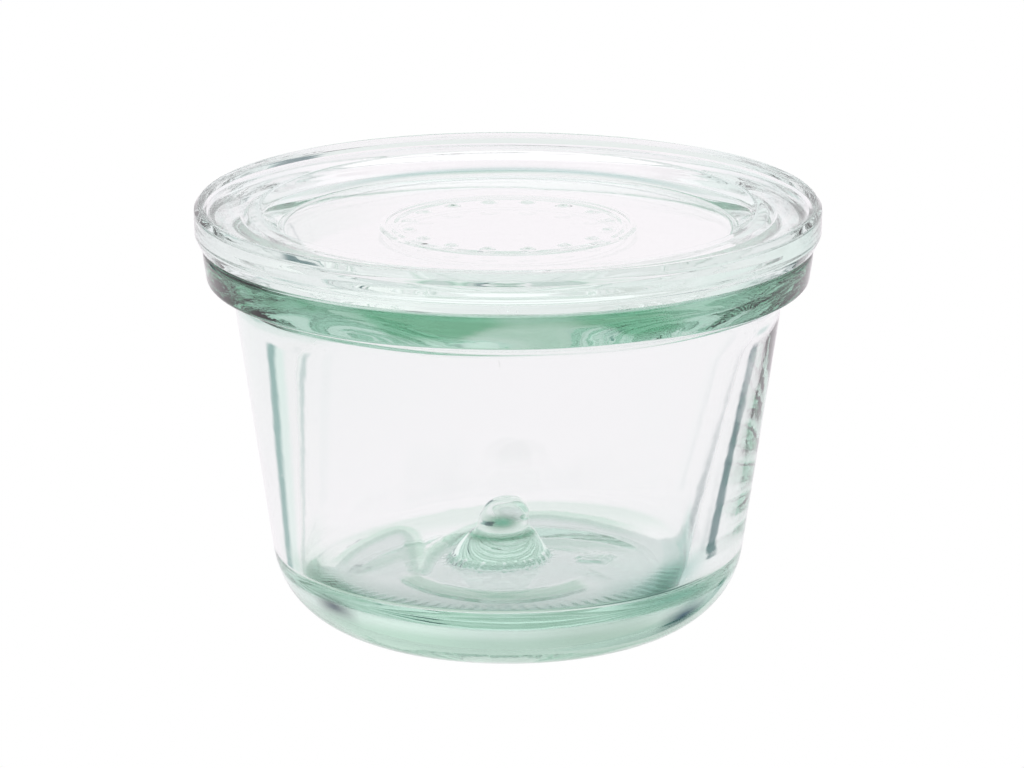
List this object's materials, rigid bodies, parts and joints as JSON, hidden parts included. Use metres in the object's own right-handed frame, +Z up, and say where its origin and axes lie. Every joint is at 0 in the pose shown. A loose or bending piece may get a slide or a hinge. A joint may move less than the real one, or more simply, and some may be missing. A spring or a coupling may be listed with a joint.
{
  "type": "canning jar",
  "caption": "Small empty canning jar of clear green-tinged glass: a tapered round body with a thick rim, and a loose glass lid with a sunken panel.",
  "frame": {"origin": "centre of the base, on the surface that the jar stands on", "axes": "+Z up along the axis that the jar and lid are turned about; +X to the right as the picture shows the jar, the side of the small bump on its floor"},
  "size_m": [0.088, 0.088, 0.0608],
  "materials": {
    "jar_glass": "smooth clear glass with a green tinge where it is thick",
    "lid_glass": "smooth clear glass with a faint green tinge"
  },
  "bodies": {
    "root": {"jar": "jar_glass", "lid": "lid_glass"}
  },
  "joints": []
}
